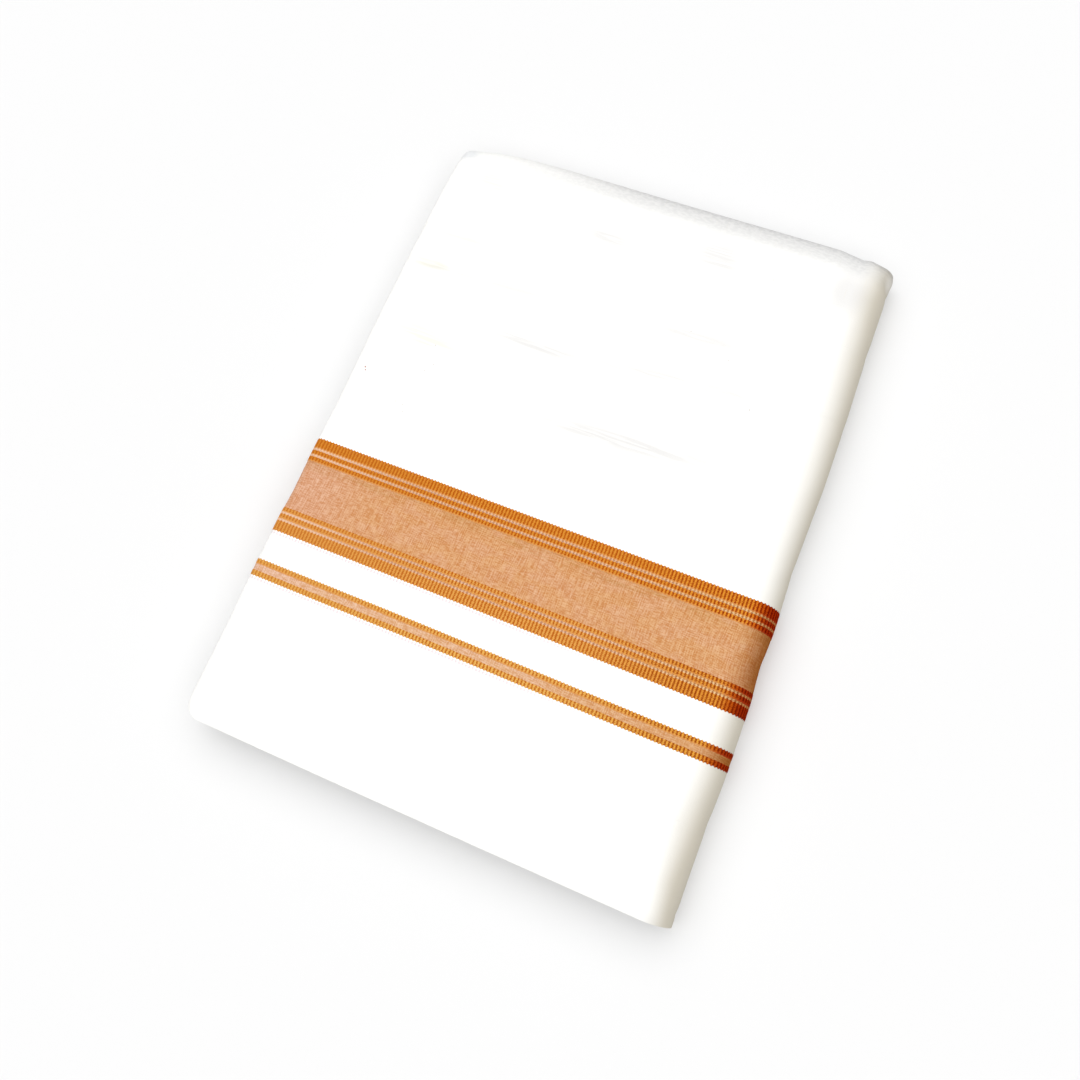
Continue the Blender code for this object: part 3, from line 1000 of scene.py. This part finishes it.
def new_group(name, inputs, outputs):
    """An empty shader node group: the tree, what goes into it and what it puts out.

    A place on the cloth goes into each. Its outputs are plain values.
    """
    tree = bpy.data.node_groups.new(name, "ShaderNodeTree")
    tree.interface.new_socket("Place", in_out="INPUT", socket_type="NodeSocketVector")
    for title, kind in inputs.items():
        tree.interface.new_socket(title, in_out="INPUT", socket_type=kind)
    for title in outputs:
        tree.interface.new_socket(title, in_out="OUTPUT", socket_type="NodeSocketFloat")
    return tree, tree.nodes.new("NodeGroupInput").outputs, tree.nodes.new("NodeGroupOutput").inputs


def use_group(tree, name, **values):
    """Adds a node group to a tree; its outputs."""
    node = tree.nodes.new("ShaderNodeGroup")
    node.node_tree = bpy.data.node_groups[name]
    for title, value in values.items():
        feed(tree, node.inputs[title], value)
    return node.outputs


def plain_weave_group():
    """Threads that pass over and under each other, with a little unevenness."""
    tree, given, result = new_group("Plain weave", {"Pitch": "NodeSocketFloat"}, ("Height",))
    waves = []
    for distance in split(tree, given["Place"]):
        turns = calc(tree, "DIVIDE", distance, given["Pitch"])
        waves.append(calc(tree, "SINE", times(tree, turns, math.pi)))
    crossing = calc(tree, "MULTIPLY_ADD", times(tree, *waves), WEAVE_SWING, 0.5)
    place = given["Place"]
    uneven = calc(tree, "ADD", noise(tree, place, LONG_THREADS), noise(tree, place, CROSS_THREADS))
    feed(tree, result["Height"], calc(tree, "MULTIPLY_ADD", uneven, WEAVE_UNEVEN, crossing))


def slub_group():
    """Thicker places in the yarn: thin streaks of the cloth's two ways, few and long."""
    tree, given, result = new_group("Slubs", {"Share": "NodeSocketFloat"}, SLUBS)
    level = calc(tree, "SUBTRACT", 1.0, given["Share"])
    full = calc(tree, "ADD", level, SLUB_EDGE)
    for title, grain in SLUBS.items():
        streak = noise(tree, given["Place"], grain, detail=1.0)
        feed(tree, result[title], soft_step(tree, streak, level, full))


def cords_group():
    """The woven cords of the orange stripes, which run up the cloth: 1 on a crest and 0 in a groove.

    Level is the same with the beads that the cross threads make of each cord, and with uneven yarn.
    """
    tree, given, result = new_group("Cords", {"Pitch": "NodeSocketFloat"}, ("Crest", "Level"))
    across, up = split(tree, given["Place"])
    turns = calc(tree, "DIVIDE", across, given["Pitch"])
    wave = calc(tree, "COSINE", times(tree, turns, 2.0 * math.pi))
    crest = calc(tree, "MULTIPLY_ADD", wave, 0.5, 0.5)
    feed(tree, result["Crest"], crest)
    picks = calc(tree, "DIVIDE", up, BEAD_PITCH)
    staggered = calc(tree, "MULTIPLY_ADD", calc(tree, "ROUND", turns), BEAD_STAGGER, picks)
    beads = calc(tree, "COSINE", times(tree, staggered, 2.0 * math.pi))
    yarn = soft_step(tree, noise(tree, given["Place"], CORD_YARN), *CORD_YARN_SWING)
    level = calc(tree, "ADD", calc(tree, "MULTIPLY_ADD", beads, BEAD_AMOUNT, crest), yarn)
    feed(tree, result["Level"], soft_step(tree, level, *CORD_LEVELS))


def oval_mark_group():
    """A soft oval mark on the cloth: 1 in its middle and 0 outside it."""
    inputs = {title: "NodeSocketVector" for title in ("Centre", "Turn", "Size")}
    tree, given, result = new_group("Oval mark", inputs, ("Mask",))
    turned = tree.nodes.new("ShaderNodeVectorRotate")
    turned.rotation_type = "EULER_XYZ"
    feed(tree, turned.inputs["Vector"], given["Place"])
    feed(tree, turned.inputs["Center"], given["Centre"])
    feed(tree, turned.inputs["Rotation"], given["Turn"])
    off = vector_calc(tree, "SUBTRACT", turned.outputs[0], given["Centre"])
    away = vector_calc(tree, "LENGTH", vector_calc(tree, "DIVIDE", off, given["Size"]))
    feed(tree, result["Mask"], soft_step(tree, away, *MARK_FADE))


def chart_colours(tree, value, stops, smooth):
    """A chart that turns a value between 0 and 1 into the four parts of its stops' colours."""
    chart = tree.nodes.new("ShaderNodeValToRGB")
    chart.color_ramp.interpolation = "LINEAR" if smooth else "CONSTANT"
    feed(tree, chart.inputs[0], value)
    elements = chart.color_ramp.elements
    while len(elements) < len(stops):
        elements.new(1.0)
    for element, (position, shares) in zip(elements, stops):
        element.position = position
        element.color = shares
    parts = tree.nodes.new("ShaderNodeSeparateColor")
    feed(tree, parts.inputs[0], chart.outputs["Color"])
    return (*(parts.outputs[part] for part in ("Red", "Green", "Blue")), chart.outputs["Alpha"])


def painted_spine_shade(tree, place, across, up):
    """The painted shade of the turn round the spine, which starts where its chart says at each place up it.
    """
    width = SHADE_CHART_TO - SHADE_CHART_FROM
    stops = []
    for row in SPINE_SHADE:
        start, full = ((row[part] - SHADE_CHART_FROM) / width for part in ("start", "full"))
        stops.append((row["up"] / LONG_SIDE, (start, full, 0.0, 1.0)))
    start, full, *_ = chart_colours(tree, calc(tree, "DIVIDE", up, LONG_SIDE), stops, smooth=True)
    charted = calc(tree, "DIVIDE", calc(tree, "SUBTRACT", across, SHADE_CHART_FROM), width)
    turned = soft_step(tree, charted, start, full)
    # A painted highlight at the corner lip weakens the painted shade there
    lip = use_group(tree, "Oval mark", Place=place, Centre=CORNER_PAINTED_HIGHLIGHT["at"], Size=CORNER_PAINTED_HIGHLIGHT["size"])["Mask"]
    kept = calc(tree, "MULTIPLY_ADD", lip, -CORNER_PAINTED_HIGHLIGHT["share"], 1.0)
    past = soft_step(tree, across, *SPINE_SHADE_ENDS)
    return times(tree, times(tree, turned, kept), past)


def painted_fold_shade_group():
    """Masks of painted shade: where the cloth turns round the spine and where it nears the creased end, 0 on
    the flat top.
    """
    tree, given, result = new_group("Fold shade", {}, ("Spine", *CORD_TURNS, "Creased end"))
    across, up = split(tree, given["Place"])
    feed(tree, result["Spine"], painted_spine_shade(tree, given["Place"], across, up))
    past = soft_step(tree, across, *CORD_SHADE_ENDS)
    for title, places in CORD_TURNS.items():
        feed(tree, result[title], times(tree, soft_step(tree, across, *places), past))
    early = soft_step(tree, up, *CREASE_EARLY)
    early = times(tree, early, soft_step(tree, across, *CREASE_EARLY_AT_CORNER))
    late = soft_step(tree, up, *CREASE_LATE)
    late = times(tree, late, soft_step(tree, across, *CREASE_LATE_AT_CORNER))
    mottle = soft_step(tree, noise(tree, given["Place"], CREASE_MOTTLE), *CREASE_MOTTLE_LEVELS)
    depth = times(tree, soft_step(tree, across, *CREASE_DEPTH), mottle)
    feed(tree, result["Creased end"], times(tree, calc(tree, "ADD", early, late), depth))


def stripe_chart_group(name, base, stripes):
    """The stripes of a border across its width: which kind of weave lies at a place."""
    kinds = ("Cord", "Light", "Peach", "Gold")
    tree, given, result = new_group(name, {"Crest": "NodeSocketFloat"}, kinds)
    up = split(tree, given["Place"])[1]
    width = stripes[-1]["high"]
    from_middle = calc(tree, "DIVIDE", calc(tree, "SUBTRACT", up, base + width / 2), width / 2)
    crest = calc(tree, "MULTIPLY_ADD", given["Crest"], 2.0 * SCALLOP, -SCALLOP)
    up = calc(tree, "SUBTRACT", up, times(tree, from_middle, crest))
    low, high = base - BORDER_MARGIN, base + width + BORDER_MARGIN
    edges = [(0.0, GROUND_MASK)]
    for stripe in stripes:
        edges.append(((base + stripe["low"] - low) / (high - low), STRIPE_MASKS[stripe["kind"]]))
    edges.append(((base + width - low) / (high - low), GROUND_MASK))
    charted = calc(tree, "DIVIDE", calc(tree, "SUBTRACT", up, low), high - low)
    for kind, share in zip(kinds, chart_colours(tree, charted, edges, smooth=False)):
        feed(tree, result[kind], share)


def new_material(name, roughness, slub_share):
    """A cloth material: its tree, its shader, the place on the cloth, and what every such surface has there.

    That is the height of its threads, its slubs and the painted shade of the folds.
    """
    material = bpy.data.materials.new(name)
    material.use_nodes = True
    tree = material.node_tree
    shader = tree.nodes["Principled BSDF"]
    shader.inputs["Roughness"].default_value = roughness
    shader.inputs["Specular IOR Level"].default_value = CLOTH_SHINE
    node = tree.nodes.new("ShaderNodeUVMap")
    node.uv_map = CLOTH_MAP
    place, pitch = node.outputs[0], bpy.context.scene.dhoti_weave.thread_pitch
    threads = use_group(tree, "Plain weave", Place=place, Pitch=pitch)["Height"]
    slubs = use_group(tree, "Slubs", Place=place, Share=slub_share)
    return tree, shader, place, threads, slubs, use_group(tree, "Fold shade", Place=place)


def bump(tree, shader, height):
    """Gives a shader the small relief of the threads, from their height."""
    node = tree.nodes.new("ShaderNodeBump")
    node.inputs["Distance"].default_value = THREAD_RELIEF
    feed(tree, node.inputs["Height"], height)
    feed(tree, shader.inputs["Normal"], node.outputs[0])


def mark(tree, place, spot):
    """The mask of one small mark on the cloth."""
    centre = (spot["at"][0] * MM, spot["at"][1] * MM, 0.0)
    extent = (spot["size"][0] * MM, spot["size"][1] * MM, 1.0)
    turn = (0.0, 0.0, math.radians(-spot.get("turn", 0.0)))
    return use_group(tree, "Oval mark", Place=place, Centre=centre, Size=extent, Turn=turn)["Mask"]


def white_cloth(name, white, marked):
    """The bleached ground: plain weave with faint slubs, specks and streaked clouds on the top field, most
    clouds painted shade, and painted shade round the spine and at the creased end.
    """
    tree, shader, place, threads, slubs, shade = new_material(name, WHITE_ROUGHNESS, WHITE_SLUBS)
    cotton = blend_colours(tree, slubs["Crosswise"], tuple(white), SLUB_TONE)
    if marked:
        lines = soft_step(tree, noise(tree, place, MARK_STREAKS), *MARK_STREAK_LEVELS)
        # Clouds: mostly painted crease shade, one painted spine shade and one painted bluish light
        for spot in CLOUDS:
            weight = times(tree, mark(tree, place, spot), spot["weight"])
            streaked = calc(tree, "MULTIPLY_ADD", lines, spot["streaks"], 1.0 - spot["streaks"])
            cotton = tint(tree, times(tree, weight, streaked), cotton, CLOUD_TONES[spot["tone"]])
        for spot in SPECKS:
            cotton = tint(tree, mark(tree, place, spot), cotton, SPECK_TONES[spot["tone"]])
    # Painted shade round the spine and at the creased end
    cotton = tint(tree, shade["Spine"], cotton, WHITE_IN_PAINTED_SPINE_SHADE)
    cotton = tint(tree, shade["Creased end"], cotton, WHITE_IN_PAINTED_END_SHADE)
    feed(tree, shader.inputs["Base Color"], cotton)
    bump(tree, shader, calc(tree, "MULTIPLY_ADD", slubs["Lengthwise"], SLUB_RELIEF, threads))


def border_cloth(border):
    """A woven border: corded orange stripes, dotted light lines and a centre of orange across white."""
    colours, pitch = bpy.context.scene.dhoti_colours, bpy.context.scene.dhoti_weave.cord_pitch
    base, name = border["base"], border["name"]
    tree, shader, place, threads, slubs, shade = new_material(name, BORDER_ROUGHNESS, BORDER_SLUBS)
    cords = use_group(tree, "Cords", Place=place, Pitch=pitch)
    kinds = use_group(tree, border["chart"], Place=place, Crest=cords["Crest"])
    across, up = split(tree, place)
    at_left, at_right, far_right, blurred = (
        soft_step(tree, across, *places) for places in (AT_LEFT, AT_RIGHT, FAR_RIGHT, BLURRED_AT_LEFT)
    )
    upper = soft_step(tree, up, *UPPER_STRIPES)

    level = times(tree, cords["Level"], calc(tree, "SUBTRACT", 1.0, blurred))
    level = calc(tree, "MULTIPLY_ADD", blurred, 0.5, level)
    orange = blend_colours(tree, level, tuple(colours.orange_groove), tuple(colours.orange_crest))
    orange = tint(tree, upper, orange, UPPER_CORDS)
    orange = tint(tree, 1.0, orange, border["cords"])
    groove_tone = blend_colours(tree, upper, LOWER_GROOVES_AT_RIGHT, UPPER_GROOVES_AT_RIGHT)
    crest_tone = blend_colours(tree, upper, LOWER_CRESTS_AT_RIGHT, UPPER_CRESTS_AT_RIGHT)
    orange = tint(tree, far_right, orange, blend_colours(tree, level, groove_tone, crest_tone))
    orange = blend_colours(tree, times(tree, kinds["Gold"], GOLD_SHARE), orange, GOLD_EDGE)
    # Painted shade of the spine's turn: the cords redden, then darken
    orange = tint(tree, shade["Reddened cords"], orange, CORDS_REDDENED_BY_PAINTED_SHADE)
    orange = tint(tree, shade["Spine cords"], orange, CORDS_IN_PAINTED_SPINE_SHADE)

    gap = blend_colours(tree, far_right, LIGHT_LINE_GAP, LIGHT_GAP_AT_RIGHT)
    gap = blend_colours(tree, at_left, gap, LIGHT_GAP_AT_LEFT)
    line = blend_colours(tree, far_right, tuple(colours.light_line), LIGHT_LINE_AT_RIGHT)
    line = blend_colours(tree, at_left, line, LIGHT_LINE_AT_LEFT)
    # Painted shade of the spine's turn on the light lines
    light = tint(tree, shade["Spine cords"], blend_colours(tree, level, gap, line), LIGHT_LINES_IN_PAINTED_SPINE_SHADE)

    patches = soft_step(tree, noise(tree, place, PATCHES, detail=3.0), *PATCH_LEVELS)
    pink = calc(tree, "MAXIMUM", patches, times(tree, at_left, PINK_AT_LEFT))
    plain = blend_colours(tree, pink, *(tuple(getattr(colours, yarn)) for yarn in border["yarns"]))
    yarns = calc(tree, "ADD", noise(tree, place, PEACH_LONG_YARNS), noise(tree, place, PEACH_CROSS_YARNS))
    gaps = soft_step(tree, calc(tree, "MULTIPLY_ADD", threads, PEACH_WEAVE, yarns), *PEACH_THREADS)
    plain = tint(tree, gaps, plain, PEACH_GAP)
    near_cords = soft_step(tree, up, base + PEACH_STREAKS_FROM, base + PEACH_STREAKS_FULL)
    streaks = soft_step(tree, noise(tree, place, PEACH_STREAKS), *PEACH_STREAK_LEVELS)
    plain = tint(tree, times(tree, near_cords, streaks), plain, PEACH_STREAK)
    plain = tint(tree, slubs["Crosswise"], plain, PEACH_SLUB)
    plain = tint(tree, at_right, plain, border["at_right"])
    # Painted shade of the spine's turn on the peach
    plain = tint(tree, shade["Spine"], plain, PEACH_IN_PAINTED_SPINE_SHADE)

    dots = soft_step(tree, cords["Level"], *FRINGE_LEVELS)
    dots = times(tree, dots, soft_step(tree, up, *(base + place for place in FRINGE_START)))
    dots = times(tree, dots, calc(tree, "SUBTRACT", 1.0, at_right))
    below_border = soft_step(tree, up, *(base + place for place in FRINGE_END), 1.0, 0.0)
    dots = times(tree, dots, below_border)
    ground = blend_colours(tree, dots, tuple(colours.white), FRINGE_TONE)
    # Painted shade of the spine's turn on the white
    ground = tint(tree, shade["Spine"], ground, WHITE_IN_PAINTED_SPINE_SHADE)

    yarn = blend_colours(tree, kinds["Cord"], ground, orange)
    yarn = blend_colours(tree, kinds["Light"], yarn, light)
    yarn = blend_colours(tree, kinds["Peach"], yarn, plain)
    feed(tree, shader.inputs["Base Color"], yarn)
    corded = times(tree, calc(tree, "ADD", kinds["Cord"], kinds["Light"]), cords["Level"])
    bump(tree, shader, calc(tree, "ADD", corded, threads))


def cloth_materials():
    """Makes the node groups and materials of the cloth once; the materials by name."""
    colours = bpy.context.scene.dhoti_colours
    if "Plain weave" not in bpy.data.node_groups:
        for make in (plain_weave_group, slub_group, cords_group, oval_mark_group, painted_fold_shade_group):
            make()
        white_cloth("White cotton, top field", colours.white, marked=True)
        white_cloth("White cotton", colours.white, marked=False)
        # The white inside is painted shade between the layers
        white_cloth("White cotton, inside", colours.white_in_painted_shade, marked=False)
        for border in BORDERS:
            stripe_chart_group(border["chart"], border["base"], border["stripes"])
            border_cloth(border)
    return bpy.data.materials


def make_stretch(name, node, rows, step, face):
    """Makes one stretch of the outer wrap, in place of its CAD node."""
    weave = bpy.context.scene.dhoti_weave
    distances = wrap_columns(step)
    outline = strip_outline(rows, STRIP, INNER_ROW)
    places = place_strip(distances, outline, STRIP, weave, hidden=False)
    materials = cloth_materials()
    faces = (materials[face], materials["White cotton"])
    piece = to_piece(strip_mesh(distances, outline, places), name, faces)
    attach(piece, BODY)
    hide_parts(node)


class DHOTI_OT_wrap(bpy.types.Operator):
    """Make the outer wrap of the packet, in five stretches between the edges of its borders"""

    bl_idname = "dhoti.wrap"
    bl_label = "Wrap the packet"

    def execute(self, context):
        cord_step = context.scene.dhoti_weave.cord_pitch / CORD_COLUMNS
        wide = border_rows(WIDE_LOW, WIDE_STRIPES)
        narrow = border_rows(NARROW_LOW, NARROW_STRIPES)
        upper = end_rows(wide[-1], LONG_SIDE, GROUND_ROW)
        between = end_rows(narrow[-1], wide[0], GROUND_ROW)
        lower = end_rows(0.0, narrow[0], GROUND_ROW)
        top, plain = "White cotton, top field", "White cotton"
        wide_face, narrow_face = (border["name"] for border in BORDERS)
        make_stretch("white_cloth_upper", "field_upper", upper, GROUND_COLUMN, top)
        make_stretch("wide_border_cloth", "border_wide", wide, cord_step, wide_face)
        make_stretch("white_cloth_between", "field_between", between, GROUND_COLUMN, plain)
        make_stretch("narrow_border_cloth", "border_narrow", narrow, cord_step, narrow_face)
        make_stretch("white_cloth_lower", "field_lower", lower, GROUND_COLUMN, plain)
        return {"FINISHED"}


class DHOTI_OT_inner_layers(bpy.types.Operator):
    """Fold the fifteen layers inside the wrap, as one strip that takes every fold in turn"""

    bl_idname = "dhoti.inner_layers"
    bl_label = "Fold the layers inside"

    def execute(self, context):
        weave = context.scene.dhoti_weave
        distances = hidden_columns()
        thick = STRIP - LAYER_GAP
        outline = strip_outline(end_rows(0.0, LONG_SIDE, HIDDEN_ROW), thick, HIDDEN_ROW)
        places = place_strip(distances, outline, thick, weave, hidden=True)
        # The layers inside take the white in painted shade
        cotton = cloth_materials()["White cotton, inside"]
        piece = to_piece(strip_mesh(distances, outline, places), "folded_layers_inside", (cotton, cotton))
        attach(piece, BODY)
        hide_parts("hidden_layers")
        return {"FINISHED"}


class DHOTI_OT_stage(bpy.types.Operator):
    """Lay the packet on a pale floor, in even light with three soft lamps, and set the camera"""

    bl_idname = "dhoti.stage"
    bl_label = "Set the stage"

    def execute(self, context):
        scene = context.scene
        stage = scene.dhoti_stage
        scene.view_settings.view_transform = "Standard"

        bm = bmesh.new()
        bmesh.ops.create_grid(bm, x_segments=1, y_segments=1, size=FLOOR_SIZE / 2)
        bmesh.ops.translate(bm, verts=bm.verts, vec=(0.0, 0.0, FLOOR_Z))
        mesh = bpy.data.meshes.new("studio_floor")
        bm.to_mesh(mesh)
        bm.free()
        paper = bpy.data.materials.new("Pale paper")
        paper.use_nodes = True
        shader = paper.node_tree.nodes["Principled BSDF"]
        shader.inputs["Base Color"].default_value = (FLOOR_PALE, FLOOR_PALE, FLOOR_PALE, 1.0)
        shader.inputs["Roughness"].default_value = 1.0
        shader.inputs["Specular IOR Level"].default_value = 0.0
        mesh.materials.append(paper)
        floor = add_object("studio_floor", mesh)

        world = bpy.data.worlds.new("Even studio light")
        world.use_nodes = True
        background = world.node_tree.nodes["Background"]
        background.inputs["Color"].default_value = (1.0, 1.0, 1.0, 1.0)
        background.inputs["Strength"].default_value = stage.fill_strength
        scene.world = world

        for name, strength, spread, source in (
            ("overhead_lamp", stage.overhead_strength, OVERHEAD_SPREAD, OVERHEAD_FROM),
            ("soft_key_lamp", stage.key_strength, KEY_SPREAD, KEY_FROM),
            ("counter_lamp", stage.counter_strength, COUNTER_SPREAD, COUNTER_FROM),
        ):
            lamp = bpy.data.lights.new(name, "SUN")
            lamp.energy = strength
            lamp.angle = spread
            holder = add_object(name, lamp)
            holder.rotation_euler = source.to_track_quat("Z", "Y").to_euler()

        lens = bpy.data.cameras.new("camera")
        lens.lens = CAMERA_LENS
        lens.sensor_width = CAMERA_SENSOR
        lens.clip_start = CAMERA_NEAR
        lens.clip_end = CAMERA_FAR
        turn, height = CAMERA_TURN, CAMERA_HEIGHT
        flat = math.cos(height)
        back = Vector((math.sin(turn) * flat, -math.cos(turn) * flat, math.sin(height)))
        level = Vector((math.cos(turn), math.sin(turn), 0.0))
        right = level * math.cos(CAMERA_TILT) + back.cross(level) * math.sin(CAMERA_TILT)
        up = back.cross(right)
        facing = Matrix((right, up, back)).transposed().to_4x4()
        camera = add_object("camera", lens)
        camera.matrix_world = Matrix.Translation(CAMERA_AIM + back * CAMERA_DISTANCE) @ facing
        scene.camera = camera
        return {"FINISHED"}


class DHOTI_PT_panel(bpy.types.Panel):
    """The steps of the build and its settings"""

    bl_idname = "DHOTI_PT_panel"
    bl_label = "Folded dhoti"
    bl_space_type = "VIEW_3D"
    bl_region_type = "UI"
    bl_category = "Dhoti"

    def draw(self, context):
        layout = self.layout
        for operator in STEPS:
            layout.operator(operator.bl_idname)
        for settings in (context.scene.dhoti_weave, context.scene.dhoti_colours, context.scene.dhoti_stage):
            box = layout.box()
            for name in settings.__annotations__:
                box.prop(settings, name)


SETTINGS = {"dhoti_weave": DhotiWeave, "dhoti_colours": DhotiColours, "dhoti_stage": DhotiStage}
STEPS = (DHOTI_OT_wrap, DHOTI_OT_inner_layers, DHOTI_OT_stage)
CLASSES = (*SETTINGS.values(), *STEPS, DHOTI_PT_panel)


def register():
    """Adds the settings, the steps and the panel to Blender."""
    for entry in CLASSES:
        bpy.utils.register_class(entry)
    for name, settings in SETTINGS.items():
        setattr(bpy.types.Scene, name, PointerProperty(type=settings))


def unregister():
    """Takes them away again."""
    for name in SETTINGS:
        delattr(bpy.types.Scene, name)
    for entry in reversed(CLASSES):
        bpy.utils.unregister_class(entry)


def main():
    """Runs every step."""
    register()
    bpy.ops.dhoti.wrap()
    bpy.ops.dhoti.inner_layers()
    bpy.ops.dhoti.stage()


if __name__ == "__main__":
    main()
